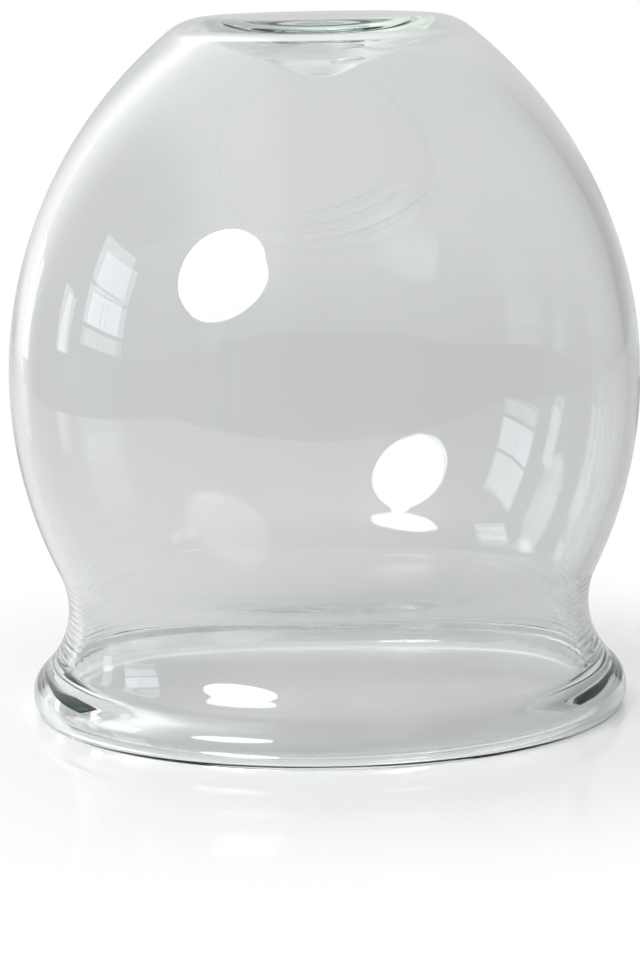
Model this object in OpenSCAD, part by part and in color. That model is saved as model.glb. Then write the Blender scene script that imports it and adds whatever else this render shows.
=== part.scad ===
// Fire cupping glass: a blown bulb with a drawn-in waist, a flared lip and a sealed, flattened crown.
// The glass is one revolved section. Three zones of it are the three masses that the maker worked:
// the blown wall, the lip that was melted back round the mouth and the plug that closes the crown.
// Millimetres, +Z up, mouth down on the plane z = 0, axis of the glass on Z.

/* [Bulb] */
// Outer diameter at the widest level
bulb_d = 60; // [56:0.5:66]
// Height of the widest level above the rim
bulb_z = 31.4; // [29:0.2:34]
// Wall at the widest level
bulb_wall = 1.3; // [1:0.05:1.8]

/* [Waist] */
// Outer diameter at the narrowest level
waist_d = 50; // [47:0.5:52]
// Height of the narrowest level above the rim
waist_z = 9.7; // [9:0.1:11]
// Wall at the narrowest level
waist_wall = 1.2; // [1:0.05:1.6]
// Curve of the hollow above the narrowest level, up to the bulb
in_waist_round = 10; // [9:0.5:14]

/* [Lip] */
// Outer diameter of the flat foot that the glass stands on
foot_d = 56.3; // [54:0.1:58]
// How far the lip swells out past its foot, all round
lip_swell = 0.45; // [0.3:0.05:0.8]
// Height of the lip's widest level above the rim
lip_z = 1.5; // [1.2:0.05:1.8]
// Thickness of the lip, from its widest level to the mouth
lip_wall = 3.2; // [2.6:0.1:3.6]
// Curve of the hollow below the narrowest level, out into the mouth
mouth_round = 11; // [9:0.5:14]
// Hollow curve inside, where the flare turns down into the lip
lip_hollow_round = 4; // [3:0.1:5]
// Rounding from the mouth into the foot
lip_edge_round = 1.3; // [1:0.1:1.7]

/* [Crown] */
// Overall height
height = 65.7; // [62:0.1:70]
// Outer diameter of the flat land on the crown
crown_d = 21.2; // [20:0.2:25]
// Rounding from the land down into the shoulder
crown_round = 5.8; // [5:0.1:7]
// Wall of the crown and its rounding
crown_wall = 2.2; // [1.8:0.1:2.8]

/* [Seal] */
// Diameter of the plug that closes the crown
seal_d = 19.4; // [16:0.2:19.6]
// Depth of the dish in the plug's top
dish_depth = 0.3; // [0.2:0.05:0.8]
// How far the drop hangs below the crown's underside
drop_depth = 3.4; // [3:0.1:4]
// Rounding of the drop's tip
drop_round = 5; // [4:0.1:6]

/* [Hidden] */
$fn = 180;

glass_tint = [0.84, 0.88, 0.86, 0.45];
// Largest distance between a curve of the section and its chords
curve_error = 0.01;
// Reach of cutting shapes past the faces that they cut
past = 1;

// Radius of an arc that leaves a point vertically and touches a circle.
// side: 1 puts the arc's centre outside of the point, -1 towards the axis.
// outward: 1 where the two touch from outside, -1 where the circle lies inside the arc.
function touching_r(point, centre, radius, side, outward) =
    let (d = centre - point)
    (d * d - radius * radius) / (2 * (outward * radius + side * d.x));

// Direction from one point to another, from 0 to 360 degrees or from -180 to 180
function bearing(a, b) = atan2(b.y - a.y, b.x - a.x);
function full_bearing(a, b) = (bearing(a, b) + 360) % 360;

// Points of the arcs [centre, radius, from, to], end to end, each joint once
function outline(arcs) = [
    for (i = [0 : len(arcs) - 1])
        let (
            c = arcs[i][0],
            r = arcs[i][1],
            from = arcs[i][2],
            sweep = arcs[i][3] - from,
            steps = ceil(abs(sweep) / (2 * acos(1 - curve_error / r)))
        )
        for (k = [i == 0 ? 0 : 1 : steps])
            let (a = from + sweep * k / steps)
            c + r * [cos(a), sin(a)]
];

// Outer skin: lip, waist, lower and upper half of the bulb, crown's rounding
foot_p = [foot_d / 2, 0];
lip_d = foot_d + 2 * lip_swell;
lip_round = (lip_z ^ 2 + lip_swell ^ 2) / (2 * lip_swell);
lip_c = [lip_d / 2 - lip_round, lip_z];
waist_p = [waist_d / 2, waist_z];
waist_r = touching_r(waist_p, lip_c, lip_round, 1, 1);
waist_c = waist_p + [waist_r, 0];
bulb_p = [bulb_d / 2, bulb_z];
lower_r = touching_r(bulb_p, waist_c, waist_r, -1, 1);
lower_c = bulb_p - [lower_r, 0];
crown_c = [crown_d / 2, height - crown_round];
upper_r = touching_r(bulb_p, crown_c, crown_round, -1, -1);
upper_c = bulb_p - [upper_r, 0];

outer_arcs = [
    [lip_c, lip_round, bearing(lip_c, foot_p), bearing(lip_c, waist_c)],
    [waist_c, waist_r, full_bearing(waist_c, lip_c), full_bearing(waist_c, lower_c)],
    [lower_c, lower_r, bearing(lower_c, waist_c), 0],
    [upper_c, upper_r, 0, bearing(upper_c, crown_c)],
    [crown_c, crown_round, bearing(upper_c, crown_c), 90]
];

// Hollow: rounding out of the foot, mouth, waist, lower and upper half of the bulb, crown's rounding
mouth_r = lip_d / 2 - lip_wall;
edge_c = [mouth_r + lip_edge_round, lip_edge_round];
in_waist_x = waist_d / 2 - waist_wall;
// The flare opens from the waist to the mouth, side 1, or closes where the mouth is the narrower, side -1
flare = abs(mouth_r - in_waist_x);
side = mouth_r < in_waist_x ? -1 : 1;
flare_rise = sqrt(flare * (2 * (mouth_round + lip_hollow_round) - flare));
// The hollow is narrowest level with the skin, or higher where a wide flare needs the room
in_waist_p = [in_waist_x, max(waist_z, lip_edge_round + flare_rise)];
mouth_c = in_waist_p + [side * mouth_round, 0];
hollow_c = [mouth_r - side * lip_hollow_round, in_waist_p.y - flare_rise];
// The hollow's curve is no tighter than the skin outside it, so the wall keeps its thickness
in_waist_r = max(in_waist_round, waist_r + waist_wall);
in_waist_c = in_waist_p + [in_waist_r, 0];
in_bulb_p = bulb_p - [bulb_wall, 0];
in_lower_r = touching_r(in_bulb_p, in_waist_c, in_waist_r, -1, 1);
in_lower_c = in_bulb_p - [in_lower_r, 0];
in_crown_r = crown_round - crown_wall;
in_upper_r = touching_r(in_bulb_p, crown_c, in_crown_r, -1, -1);
in_upper_c = in_bulb_p - [in_upper_r, 0];
underside_z = height - crown_wall;

hollow_arcs = [
    [edge_c, lip_edge_round, 270, 180],
    [hollow_c, lip_hollow_round, 90 - 90 * side, bearing(hollow_c, mouth_c)],
    [mouth_c, mouth_round, full_bearing(mouth_c, hollow_c), 270 - 90 * side],
    [in_waist_c, in_waist_r, 180, full_bearing(in_waist_c, in_lower_c)],
    [in_lower_c, in_lower_r, bearing(in_lower_c, in_waist_c), 0],
    [in_upper_c, in_upper_r, 0, bearing(in_upper_c, crown_c)],
    [crown_c, in_crown_r, bearing(in_upper_c, crown_c), 90]
];

// Plug: a dish on top, and below a cone with a round tip
seal_r = seal_d / 2;
dish_r = (seal_r ^ 2 + dish_depth ^ 2) / (2 * dish_depth);
dish_c = [0, height - dish_depth + dish_r];
drop_p = [seal_r, underside_z];
tip_c = [0, underside_z - drop_depth + drop_round];
tip_turn = bearing(tip_c, drop_p) - acos(drop_round / norm(drop_p - tip_c));

dish_arc = [dish_c, dish_r, -90, bearing(dish_c, [seal_r, height])];
tip_arc = [tip_c, drop_round, tip_turn, -90];

// Seam between the lip and the wall, at the height where the lip's rounding ends
lip_seam_z = lip_c.y + lip_round * sin(bearing(lip_c, waist_c));

// Everything inside the outer skin
module outer_section() {
    polygon(concat([[0, 0]], outline(outer_arcs), [[0, height]]));
}

// The hollow, from below the mouth to the crown's underside
module hollow_section() {
    mouth_line = outline(hollow_arcs);
    polygon(concat([[0, -past], [mouth_line[0].x, -past]], mouth_line, [[0, underside_z]]));
}

// All of the section between two heights, out to radius r
module level(r, z0, z1) {
    translate([0, z0]) square([r, z1 - z0]);
}

// The blown wall, from the lip's seam to the plug's seam
module bulb() {
    color(glass_tint)
    rotate_extrude()
    difference() {
        outer_section();
        hollow_section();
        level(lip_d, -past, lip_seam_z);
        level(seal_r, bulb_z, height + past);
    }
}

// The rounded lip, below the height where the flare turns over
module lip() {
    color(glass_tint)
    rotate_extrude()
    difference() {
        intersection() {
            outer_section();
            level(lip_d, 0, lip_seam_z);
        }
        hollow_section();
    }
}

// The dished plug with the drop that hangs from it
module crown_seal() {
    color(glass_tint)
    rotate_extrude()
    polygon(concat(outline([dish_arc]), [drop_p], outline([tip_arc])));
}

bulb();
lip();
crown_seal();
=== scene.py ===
import math
import bpy
from mathutils import Matrix, Vector, noise

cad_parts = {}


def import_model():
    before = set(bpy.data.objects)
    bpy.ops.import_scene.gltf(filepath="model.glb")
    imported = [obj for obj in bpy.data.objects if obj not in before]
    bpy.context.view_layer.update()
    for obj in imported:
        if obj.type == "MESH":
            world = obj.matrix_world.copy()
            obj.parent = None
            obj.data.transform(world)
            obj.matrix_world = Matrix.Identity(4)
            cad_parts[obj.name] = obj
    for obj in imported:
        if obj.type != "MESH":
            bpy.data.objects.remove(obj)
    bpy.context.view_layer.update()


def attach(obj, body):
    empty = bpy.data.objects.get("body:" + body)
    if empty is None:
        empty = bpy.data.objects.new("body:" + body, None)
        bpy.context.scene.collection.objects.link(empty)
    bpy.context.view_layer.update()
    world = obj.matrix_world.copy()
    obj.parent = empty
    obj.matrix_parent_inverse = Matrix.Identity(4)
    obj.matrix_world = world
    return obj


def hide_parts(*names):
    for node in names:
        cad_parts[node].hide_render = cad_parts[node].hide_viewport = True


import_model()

MM = 0.001

# Sizes of the section, in millimetres, as in the part's source
BULB_D, BULB_Z, BULB_WALL = 60.0, 31.4, 1.3
WAIST_D, WAIST_Z, WAIST_WALL, IN_WAIST_ROUND = 50.0, 9.7, 1.2, 10.0
FOOT_D, LIP_SWELL, LIP_Z, LIP_WALL = 56.3, 0.45, 1.5, 3.2
LIP_D = FOOT_D + 2 * LIP_SWELL
MOUTH_R = LIP_D / 2 - LIP_WALL
MOUTH_ROUND, LIP_HOLLOW_ROUND, LIP_EDGE_ROUND = 11.0, 4.0, 1.3
HEIGHT, CROWN_D, CROWN_ROUND, CROWN_WALL = 65.7, 21.2, 5.8, 2.2
SEAL_D, DISH_DEPTH, DROP_DEPTH, DROP_ROUND = 19.4, 0.3, 3.4, 5.0

# Sampling of the skin: points round the axis, and millimetres between points along the section
AROUND = 270
STEP, MID_STEP, FINE_STEP = 0.7, 0.25, 0.12

# Waves of the skin, in millimetres. They fade within WAVE_FADE of the axis, and what lies below FLAT_FOOT
# stays plain. The outer skin and the hollow take their waves from places SKINS_APART.
WAVE_DEPTH, WAVE_LENGTH, WAVE_FADE = 0.05, 14.0, 10.0
FLAT_FOOT, SKINS_APART = 0.05, 40.0

# The crown leans to the front, in degrees, and sits low, in millimetres.
# Both grow from the first height to the second.
LEAN, LEAN_DROP, LEAN_FROM, LEAN_TO = 0.6, 0.1, 46.0, 62.0

# Bubbles in the plug: centre and half sizes in millimetres
BUBBLES = (
    ((2.4, -1.5, 63.3), (1.5, 0.9, 0.42)),
    ((-4.3, -1.0, 63.1), (0.9, 0.5, 0.2)),
    ((-5.9, -1.5, 63.9), (0.7, 0.5, 0.15)),
)
BUBBLE_RINGS, BUBBLE_SPOKES = 12, 24

# Glass: two tints in soft patches, faint wipe marks, and the green that thick glass gives
REFRACTION = 1.5
TINTS, TINT_SCALE = ((0.978, 0.992, 0.982, 1), (0.990, 0.996, 0.991, 1)), 60
WIPE_SCALE, WIPE_RANGE, WIPE_ROUGHNESS = 900, (0.55, 0.8), 0.02
DEPTH_COLOUR, DEPTH_DENSITY = (0.60, 0.80, 0.68, 1), 18.0

# Tool rings, as bump, in millimetres. They fade in above RING_FROM and out below RING_TO,
# and lie at the left and right, between these shares of the waist's radius.
RING_PITCH, RING_DEPTH = 0.62, 0.011
RING_FROM, RING_IN, RING_OUT, RING_TO = 3.2, 2, 4, 14.0
RING_SIDES = 0.88, 0.98
RING_DRIFT, DRIFT_SCALE = 9, 25

# Drawn lines in the front of the shoulder, as bump: arcs of ellipses round one centre, given as X and Z
# in millimetres. Each line has its size and the widths of its inner and outer side, as shares of the half
# sizes, and its share of the depth.
LINES_CENTRE, LINES_HALF = (-3.1, 55.1), (10.3, 6.0)
LINES = (1.0, 0.2, 0.08, 1.0), (1.19, 0.14, 0.06, 0.7), (1.41, 0.06, 0.03, 0.4)
LINE_DEPTH = 0.035
# The lines fade out to the left and upwards, in steps from the centre, and to the back, in steps of Y
LINES_LEFT, LINES_TOP, LINES_BACK = (0, 5), (-2, 1), (-12, -6)

# Paper: its edges in metres, and the air between it and the foot in millimetres
PAPER_X, PAPER_Y, PAPER_GAP = (-0.21, 0.3), (-0.155, 0.8), 0.02
# Its grey on the left and on the right, the X where that changes, and its gloss. The change is painted
# light: the paper is greyed lighter on the left, where the light comes from, and darker from the glass's
# middle to the right.
PAPER_PAINTED_LIGHT_GREY, PAPER_PAINTED_LIGHT_X, PAPER_ROUGHNESS = (0.67, 0.54), (-0.045, 0.005), 0.06
# Distances from the middle of the glass, in metres, between which the paper turns white
WHITE_FROM, WHITE_TO = 0.03, 0.068
# Light that the paper gives off: to the camera, and under the back of the foot, in full from the Y of
# GLOW_Y. The glow under the foot is painted light, standing in for light led down through the glass.
FILL, FOOT_PAINTED_GLOW, GLOW_Y = 0.22, 0.2, 0.015

# The room round the glass, where 1 is white: in front, behind and above
ROOM, BACKDROP, CEILING = 0.08, 0.62, 0.9
# Steps of the direction's Y and Z over which front turns to back, and both to the ceiling
BACK_STEP, UP_STEP = (-0.25, 0.3), (0.15, 0.75)
# How the room changes from left to right: steps of X as start, end, low and high gain
SIDE_GAINS = (-0.8, -0.55, 0.35, 1), (-0.35, -0.12, 1.6, 1), (0.15, 0.6, 1, 0.55)
# How much of the white background shows in the glass and through it
GLASS_SHARE = 0.15

# Lights: azimuth, elevation, distance in metres, width and height in degrees, and radiance
LAMP, LAMP_TILT = (-39.8, 27.5, 0.42, 31, 20, 12), 20
SIDE_WINDOW, SIDE_COLOUR = (-109, 5.5, 1.0, 6, 10, 1.8), (0.94, 0.95, 1.0)
FAR_WINDOW, FAR_COLOUR = (-139, 2, 1.0, 4, 12, 0.9), (0.93, 0.95, 1.0)
# Panes of the main window: azimuths of the columns, and elevation, height and radiance of the rows
PANE_COLUMNS = -93.1, -83.6
PANE_ROWS = (19.2, 8.6, 2.6), (10.9, 6.6, 2.8), (5.2, 3.2, 1.5)
PANE_DISTANCE, PANE_WIDTH, PANE_COLOUR = 1.0, 9.0, (0.85, 0.86, 1.0)
# Point that the lights face, in metres
LIGHT_AIM = Vector((0, 0, 0.035))

# Camera: lens in millimetres, places in metres, roll in degrees
LENS, ROLL = 123.3, -1.0
EYE, TARGET = Vector((0, -0.3137, 0.0739)), Vector((-0.00063, 0, 0.02103))
# How often light is followed from face to face
BOUNCES = 24


def touching_radius(point, centre, radius, side, outward):
    """Radius of an arc that leaves a point vertically and touches a circle."""
    d = centre - point
    return (d.length_squared - radius ** 2) / (2 * (outward * radius + side * d.x))


def bearing(a, b):
    """Direction from one point to another, from minus half a turn to half a turn."""
    return math.atan2(b.y - a.y, b.x - a.x)


def full_bearing(a, b):
    """Direction from one point to another, from 0 to a whole turn."""
    return bearing(a, b) % math.tau


def arc(centre, radius, start, end, step=STEP):
    """Points of an arc, without its first one."""
    count = max(2, math.ceil(abs(end - start) * radius / step))
    turns = [start + (end - start) * k / count for k in range(1, count + 1)]
    return [centre + radius * Vector((math.cos(a), math.sin(a))) for a in turns]


def section():
    """Outline of the glass, from the dish's middle round the lip to the drop's tip.

    Each point comes with 0 for the outer skin or 1 for the hollow.
    """
    quarter = math.pi / 2
    foot_p = Vector((FOOT_D / 2, 0))
    lip_turn = LIP_D / 2 - foot_p.x
    lip_round = (LIP_Z ** 2 + lip_turn ** 2) / (2 * lip_turn)
    lip_c = Vector((LIP_D / 2 - lip_round, LIP_Z))
    waist_p = Vector((WAIST_D / 2, WAIST_Z))
    waist_r = touching_radius(waist_p, lip_c, lip_round, 1, 1)
    waist_c = waist_p + Vector((waist_r, 0))
    bulb_p = Vector((BULB_D / 2, BULB_Z))
    lower_r = touching_radius(bulb_p, waist_c, waist_r, -1, 1)
    lower_c = bulb_p - Vector((lower_r, 0))
    crown_c = Vector((CROWN_D / 2, HEIGHT - CROWN_ROUND))
    upper_r = touching_radius(bulb_p, crown_c, CROWN_ROUND, -1, -1)
    upper_c = bulb_p - Vector((upper_r, 0))

    seal_r = SEAL_D / 2
    dish_r = (seal_r ** 2 + DISH_DEPTH ** 2) / (2 * DISH_DEPTH)
    dish_c = Vector((0, HEIGHT - DISH_DEPTH + dish_r))
    outer = [dish_c - Vector((0, dish_r))]
    outer += arc(dish_c, dish_r, -quarter, bearing(dish_c, Vector((seal_r, HEIGHT))))
    outer.append(Vector((CROWN_D / 2, HEIGHT)))
    outer += arc(crown_c, CROWN_ROUND, quarter, bearing(upper_c, crown_c), MID_STEP)
    outer += arc(upper_c, upper_r, bearing(upper_c, crown_c), 0)
    outer += arc(lower_c, lower_r, 0, bearing(lower_c, waist_c))
    outer += arc(waist_c, waist_r, full_bearing(waist_c, lower_c), full_bearing(waist_c, lip_c), MID_STEP)
    outer += arc(lip_c, lip_round, bearing(lip_c, waist_c), bearing(lip_c, foot_p), FINE_STEP)

    in_waist_p = waist_p - Vector((WAIST_WALL, 0))
    in_waist_c = in_waist_p + Vector((IN_WAIST_ROUND, 0))
    mouth_c = in_waist_p + Vector((MOUTH_ROUND, 0))
    hollow_x = MOUTH_R - LIP_HOLLOW_ROUND
    hollow_reach = MOUTH_ROUND + LIP_HOLLOW_ROUND
    hollow_c = Vector((hollow_x, WAIST_Z - math.sqrt(hollow_reach ** 2 - (mouth_c.x - hollow_x) ** 2)))
    edge_c = Vector((MOUTH_R + LIP_EDGE_ROUND, LIP_EDGE_ROUND))
    in_bulb_p = bulb_p - Vector((BULB_WALL, 0))
    in_lower_r = touching_radius(in_bulb_p, in_waist_c, IN_WAIST_ROUND, -1, 1)
    in_lower_c = in_bulb_p - Vector((in_lower_r, 0))
    underside_z = HEIGHT - CROWN_WALL
    in_crown_r = CROWN_ROUND - CROWN_WALL
    in_upper_r = touching_radius(in_bulb_p, crown_c, in_crown_r, -1, -1)
    in_upper_c = in_bulb_p - Vector((in_upper_r, 0))

    inner = [Vector((edge_c.x, 0))]
    inner += arc(edge_c, LIP_EDGE_ROUND, 3 * quarter, math.pi, FINE_STEP)
    inner.append(Vector((MOUTH_R, hollow_c.y)))
    inner += arc(hollow_c, LIP_HOLLOW_ROUND, 0, bearing(hollow_c, mouth_c), MID_STEP)
    inner += arc(mouth_c, MOUTH_ROUND, full_bearing(mouth_c, hollow_c), math.pi, MID_STEP)
    inner += arc(in_waist_c, IN_WAIST_ROUND, math.pi, full_bearing(in_waist_c, in_lower_c), MID_STEP)
    inner += arc(in_lower_c, in_lower_r, bearing(in_lower_c, in_waist_c), 0)
    inner += arc(in_upper_c, in_upper_r, 0, bearing(in_upper_c, crown_c))
    inner += arc(crown_c, in_crown_r, bearing(in_upper_c, crown_c), quarter, MID_STEP)

    tip_c = Vector((0, underside_z - DROP_DEPTH + DROP_ROUND))
    drop_p = Vector((seal_r, underside_z))
    tip_turn = bearing(tip_c, drop_p) - math.acos(DROP_ROUND / (drop_p - tip_c).length)
    inner.append(drop_p)
    inner.append(tip_c + DROP_ROUND * Vector((math.cos(tip_turn), math.sin(tip_turn))))
    inner += arc(tip_c, DROP_ROUND, tip_turn, -quarter, MID_STEP)
    return [(p, 0) for p in outer] + [(p, 1) for p in inner]


def wave(point, turn, skin):
    """How far the hand-made skin stands off the plain section, along its normal."""
    r, z = point
    if z < FLAT_FOOT:
        return 0
    where = Vector((r * math.cos(turn), r * math.sin(turn), z + SKINS_APART * skin)) / WAVE_LENGTH
    return WAVE_DEPTH * noise.noise(where) * min(1, r / WAVE_FADE)


def lean(y, z):
    """Height of a point after the crown has settled to the front."""
    t = min(1, max(0, (z - LEAN_FROM) / (LEAN_TO - LEAN_FROM)))
    return z + t * t * (3 - 2 * t) * (y * math.tan(math.radians(LEAN)) - LEAN_DROP)


def add_bubble(verts, faces, centre, half):
    """Void in the glass: an ellipsoid whose faces look inwards."""
    first = len(verts)
    for k in range(BUBBLE_RINGS + 1):
        polar = math.pi * k / BUBBLE_RINGS
        for j in range(BUBBLE_SPOKES):
            turn = math.tau * j / BUBBLE_SPOKES
            ball = (math.sin(polar) * math.cos(turn), math.sin(polar) * math.sin(turn), math.cos(polar))
            verts.append(tuple((c + h * b) * MM for c, h, b in zip(centre, half, ball)))
    for k in range(BUBBLE_RINGS):
        for j in range(BUBBLE_SPOKES):
            n = (j + 1) % BUBBLE_SPOKES
            a, b = first + k * BUBBLE_SPOKES, first + (k + 1) * BUBBLE_SPOKES
            faces.append((a + j, a + n, b + n, b + j))


def revolve(name, outline):
    """Closed skin round Z from an outline that starts and ends on the axis, with the bubbles inside it."""
    points = [p for p, skin in outline]
    verts, faces = [(0, 0, lean(0, points[0].y) * MM)], []
    for k in range(1, len(outline) - 1):
        point, skin = outline[k]
        along = points[k + 1] - points[k - 1]
        normal = Vector((-along.y, along.x)).normalized()
        for j in range(AROUND):
            turn = math.tau * j / AROUND
            p = point + normal * wave(point, turn, skin)
            x, y = p.x * math.cos(turn), p.x * math.sin(turn)
            verts.append((x * MM, y * MM, lean(y, p.y) * MM))
    verts.append((0, 0, lean(0, points[-1].y) * MM))
    last = len(verts) - 1
    rows = len(outline) - 2
    for j in range(AROUND):
        n = (j + 1) % AROUND
        faces.append((0, 1 + j, 1 + n))
        for k in range(rows - 1):
            a, b = 1 + k * AROUND, 1 + (k + 1) * AROUND
            faces.append((a + j, b + j, b + n, a + n))
        end = 1 + (rows - 1) * AROUND
        faces.append((last, end + n, end + j))
    for centre, half in BUBBLES:
        add_bubble(verts, faces, centre, half)
    mesh = bpy.data.meshes.new(name)
    mesh.from_pydata(verts, [], faces)
    mesh.polygons.foreach_set("use_smooth", [True] * len(mesh.polygons))
    mesh.update()
    return add_object(name, mesh)


def add_object(name, data):
    """New object in the scene."""
    obj = bpy.data.objects.new(name, data)
    bpy.context.scene.collection.objects.link(obj)
    return obj


def smooth_step(tree, value, start, end, low, high):
    """Number that goes smoothly from low to high while a value goes from start to end."""
    node = tree.nodes.new("ShaderNodeMapRange")
    node.interpolation_type = "SMOOTHSTEP"
    for name, number in (("From Min", start), ("From Max", end), ("To Min", low), ("To Max", high)):
        node.inputs[name].default_value = number
    tree.links.new(value, node.inputs["Value"])
    return node.outputs["Result"]


def maths(tree, operation, *values):
    """Result of a math node, whose values are numbers or other nodes' outputs."""
    node = tree.nodes.new("ShaderNodeMath")
    node.operation = operation
    for k, value in enumerate(values):
        if isinstance(value, (int, float)):
            node.inputs[k].default_value = value
        else:
            tree.links.new(value, node.inputs[k])
    return node.outputs[0]


def product(tree, first, *others):
    """All the values multiplied."""
    for other in others:
        first = maths(tree, "MULTIPLY", first, other)
    return first


def noise_value(tree, place, scale, detail):
    """Noise from about 0 to 1."""
    node = tree.nodes.new("ShaderNodeTexNoise")
    node.inputs["Scale"].default_value = scale
    node.inputs["Detail"].default_value = detail
    tree.links.new(place, node.inputs["Vector"])
    return node.outputs["Fac"]


def coordinates(tree, kind):
    """Texture coordinates of one kind, as a vector and as its X, Y and Z."""
    vector = tree.nodes.new("ShaderNodeTexCoord").outputs[kind]
    split = tree.nodes.new("ShaderNodeSeparateXYZ")
    tree.links.new(vector, split.inputs[0])
    return vector, split.outputs


def length(tree, vector):
    """Length of a vector."""
    node = tree.nodes.new("ShaderNodeVectorMath")
    node.operation = "LENGTH"
    tree.links.new(vector, node.inputs[0])
    return node.outputs["Value"]


def mix_shaders(tree, factor, first, second, output):
    """Mix of two shaders, as the surface of the tree's output node."""
    mix = tree.nodes.new("ShaderNodeMixShader")
    tree.links.new(factor, mix.inputs[0])
    tree.links.new(first.outputs[0], mix.inputs[1])
    tree.links.new(second.outputs[0], mix.inputs[2])
    tree.links.new(mix.outputs[0], tree.nodes[output].inputs["Surface"])


def background_share(tree):
    """1 for the camera, and GLASS_SHARE for what is seen in or through glass."""
    path = tree.nodes.new("ShaderNodeLightPath").outputs
    seen = maths(tree, "MAXIMUM", path["Is Glossy Ray"], path["Is Transmission Ray"])
    return maths(tree, "MAXIMUM", path["Is Camera Ray"], maths(tree, "MULTIPLY", seen, GLASS_SHARE))


def tool_rings(tree, place, axes):
    """Height of the tool rings, from -1 to 1."""
    level = axes["Z"]
    low = smooth_step(tree, level, RING_FROM * MM, (RING_FROM + RING_IN) * MM, 0, 1)
    high = smooth_step(tree, level, (RING_TO - RING_OUT) * MM, RING_TO * MM, 1, 0)
    drift = maths(tree, "MULTIPLY", noise_value(tree, place, DRIFT_SCALE, 1), RING_DRIFT)
    turn = maths(tree, "MULTIPLY", level, math.tau / (RING_PITCH * MM))
    rings = maths(tree, "SINE", maths(tree, "ADD", turn, drift))
    start, end = (share * WAIST_D / 2 * MM for share in RING_SIDES)
    sides = smooth_step(tree, maths(tree, "ABSOLUTE", axes["X"]), start, end, 0, 1)
    return product(tree, rings, low, high, sides)


def drawn_lines(tree, place, axes):
    """Height of the drawn lines, from 0 to 1."""
    (centre_x, centre_z), (half_x, half_z) = LINES_CENTRE, LINES_HALF
    away = tree.nodes.new("ShaderNodeVectorMath")
    away.operation = "MULTIPLY_ADD"
    tree.links.new(place, away.inputs[0])
    away.inputs[1].default_value = (1 / (half_x * MM), 0, 1 / (half_z * MM))
    away.inputs[2].default_value = (-centre_x / half_x, 0, -centre_z / half_z)
    size = length(tree, away.outputs["Vector"])
    lines = 0
    for at, inner, outer, share in LINES:
        rise = smooth_step(tree, size, at - inner, at, 0, share)
        fall = smooth_step(tree, size, at, at + outer, 1, 0)
        lines = maths(tree, "ADD", lines, maths(tree, "MULTIPLY", rise, fall))
    left_start, left_end = ((centre_x + step) * MM for step in LINES_LEFT)
    top_start, top_end = ((centre_z + step) * MM for step in LINES_TOP)
    back_start, back_end = (y * MM for y in LINES_BACK)
    left = smooth_step(tree, axes["X"], left_start, left_end, 0, 1)
    top = smooth_step(tree, axes["Z"], top_start, top_end, 1, 0)
    back = smooth_step(tree, axes["Y"], back_start, back_end, 1, 0)
    return product(tree, lines, back, left, top)


def glass_material():
    """Clear glass with a faint uneven tint, thin wipe marks, tool rings at the waist and drawn lines."""
    mat = bpy.data.materials.new("clear_glass")
    mat.use_nodes = True
    tree = mat.node_tree
    shader = tree.nodes["Principled BSDF"]
    shader.inputs["IOR"].default_value = REFRACTION
    shader.inputs["Transmission Weight"].default_value = 1.0
    place, axes = coordinates(tree, "Object")

    tint = tree.nodes.new("ShaderNodeMix")
    tint.data_type = "RGBA"
    tree.links.new(noise_value(tree, place, TINT_SCALE, 2), tint.inputs["Factor"])
    tint.inputs["A"].default_value, tint.inputs["B"].default_value = TINTS
    tree.links.new(tint.outputs["Result"], shader.inputs["Base Color"])

    wiped = noise_value(tree, place, WIPE_SCALE, 3)
    tree.links.new(smooth_step(tree, wiped, *WIPE_RANGE, 0, WIPE_ROUGHNESS), shader.inputs["Roughness"])

    rings = maths(tree, "MULTIPLY", tool_rings(tree, place, axes), RING_DEPTH)
    lines = maths(tree, "MULTIPLY", drawn_lines(tree, place, axes), LINE_DEPTH)
    bump = tree.nodes.new("ShaderNodeBump")
    bump.inputs["Distance"].default_value = MM
    tree.links.new(maths(tree, "ADD", rings, lines), bump.inputs["Height"])
    tree.links.new(bump.outputs["Normal"], shader.inputs["Normal"])

    volume = tree.nodes.new("ShaderNodeVolumeAbsorption")
    volume.inputs["Color"].default_value = DEPTH_COLOUR
    volume.inputs["Density"].default_value = DEPTH_DENSITY
    tree.links.new(volume.outputs["Volume"], tree.nodes["Material Output"].inputs["Volume"])
    return mat


def paper_material():
    """Pale glossy paper that turns white away from the glass."""
    mat = bpy.data.materials.new("pale_paper")
    mat.use_nodes = True
    tree = mat.node_tree
    shader = tree.nodes["Principled BSDF"]
    shader.inputs["Roughness"].default_value = PAPER_ROUGHNESS
    shader.inputs["Emission Color"].default_value = (1, 1, 1, 1)
    place, axes = coordinates(tree, "Object")
    reach = length(tree, place)
    # Base colour with painted light: lighter on the left, darker from the glass's middle to the right
    tree.links.new(smooth_step(tree, axes["X"], *PAPER_PAINTED_LIGHT_X, *PAPER_PAINTED_LIGHT_GREY), shader.inputs["Base Color"])

    # Painted glow: the paper under the back of the foot gives off light, standing in for the light that the
    # back of the lip leads down to it
    mouth, foot = MOUTH_R * MM, FOOT_D / 2 * MM
    inside = smooth_step(tree, reach, mouth, mouth + MM, 0, 1)
    outside = smooth_step(tree, reach, foot, foot + MM, 1, 0)
    painted_glow_behind = smooth_step(tree, axes["Y"], 0, GLOW_Y, 0, FOOT_PAINTED_GLOW)
    path = tree.nodes.new("ShaderNodeLightPath").outputs
    fill = maths(tree, "MULTIPLY", path["Is Camera Ray"], FILL)
    fill = maths(tree, "ADD", fill, product(tree, inside, outside, painted_glow_behind))
    tree.links.new(fill, shader.inputs["Emission Strength"])

    white = tree.nodes.new("ShaderNodeEmission")
    far = smooth_step(tree, reach, WHITE_FROM, WHITE_TO, 0, 1)
    factor = maths(tree, "MULTIPLY", far, background_share(tree))
    mix_shaders(tree, factor, shader, white, "Material Output")
    return mat


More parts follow.
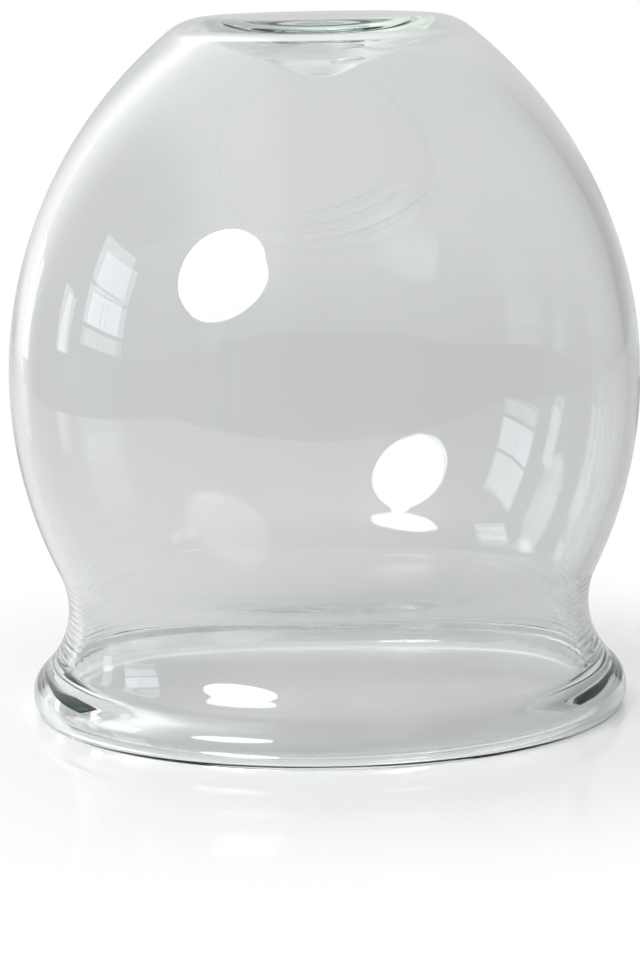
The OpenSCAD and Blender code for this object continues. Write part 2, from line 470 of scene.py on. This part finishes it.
def direction(azimuth, elevation):
    """Unit vector from the glass; azimuth 0 points to the camera's side and turns positive to +X."""
    a, e = math.radians(azimuth), math.radians(elevation)
    return Vector((math.sin(a) * math.cos(e), -math.cos(a) * math.cos(e), math.sin(e)))


def area_light(name, place, colour=(1, 1, 1), shape="RECTANGLE", tilt=0):
    """Flat light that faces the glass; its width and height are angles as the glass sees them."""
    azimuth, elevation, distance, wide, high, radiance = place
    data = bpy.data.lights.new(name, "AREA")
    data.shape = shape
    data.size = 2 * distance * math.tan(math.radians(wide / 2))
    data.size_y = 2 * distance * math.tan(math.radians(high / 2))
    area = data.size * data.size_y * (math.pi / 4 if shape == "ELLIPSE" else 1)
    data.energy = radiance * math.pi * area
    data.color = colour
    obj = add_object(name, data)
    away = direction(azimuth, elevation)
    turn = (-away).to_track_quat("-Z", "Y").to_matrix().to_4x4()
    spin = Matrix.Rotation(math.radians(tilt), 4, "Z")
    obj.matrix_world = Matrix.Translation(LIGHT_AIM + distance * away) @ turn @ spin
    obj.visible_camera = False


def world():
    """Soft studio room that the glass sees, and white for the camera."""
    studio_world = bpy.data.worlds.new("studio")
    bpy.context.scene.world = studio_world
    studio_world.use_nodes = True
    tree = studio_world.node_tree
    studio = tree.nodes["Background"]
    studio.inputs["Color"].default_value = (1, 1, 1, 1)
    white = tree.nodes.new("ShaderNodeBackground")
    white.inputs["Color"].default_value = (1, 1, 1, 1)
    white.inputs["Strength"].default_value = 1
    mix_shaders(tree, background_share(tree), studio, white, "World Output")

    axes = coordinates(tree, "Generated")[1]
    room = tree.nodes.new("ShaderNodeMix")
    tree.links.new(smooth_step(tree, axes["Z"], *UP_STEP, 0, 1), room.inputs["Factor"])
    tree.links.new(smooth_step(tree, axes["Y"], *BACK_STEP, ROOM, BACKDROP), room.inputs["A"])
    room.inputs["B"].default_value = CEILING
    gains = [smooth_step(tree, axes["X"], *gain) for gain in SIDE_GAINS]
    tree.links.new(product(tree, room.outputs["Result"], *gains), studio.inputs["Strength"])


def flat(name, x_range, y_range, z, material):
    """Level sheet between two X and two Y."""
    (x0, x1), (y0, y1) = x_range, y_range
    mesh = bpy.data.meshes.new(name)
    mesh.from_pydata([(x0, y0, z), (x1, y0, z), (x1, y1, z), (x0, y1, z)], [], [(0, 1, 2, 3)])
    mesh.materials.append(material)
    return add_object(name, mesh)


glass = revolve("glass_skin", section())
glass.data.materials.append(glass_material())
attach(glass, "root")
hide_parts("bulb", "lip", "crown_seal")

paper = flat("paper", PAPER_X, PAPER_Y, -PAPER_GAP * MM, paper_material())

world()
area_light("lamp", LAMP, shape="ELLIPSE", tilt=LAMP_TILT)
for column, azimuth in enumerate(PANE_COLUMNS):
    for row, (elevation, high, radiance) in enumerate(PANE_ROWS):
        pane = azimuth, elevation, PANE_DISTANCE, PANE_WIDTH, high, radiance
        area_light(f"pane_{column}_{row}", pane, PANE_COLOUR)
area_light("side_window", SIDE_WINDOW, SIDE_COLOUR)
area_light("far_window", FAR_WINDOW, FAR_COLOUR)

camera_data = bpy.data.cameras.new("camera")
camera_data.lens = LENS
camera = add_object("camera", camera_data)
look = (TARGET - EYE).to_track_quat("-Z", "Y").to_matrix().to_4x4()
camera.matrix_world = Matrix.Translation(EYE) @ look @ Matrix.Rotation(math.radians(ROLL), 4, "Z")
scene = bpy.context.scene
scene.camera = camera
scene.view_settings.view_transform = "Standard"
# Light reaches the paper inside the glass sharply, as it does through clear walls
scene.cycles.blur_glossy = 0
# Light that runs along inside the wall is followed until it comes out
scene.cycles.max_bounces = BOUNCES
scene.cycles.glossy_bounces = BOUNCES
scene.cycles.transmission_bounces = BOUNCES
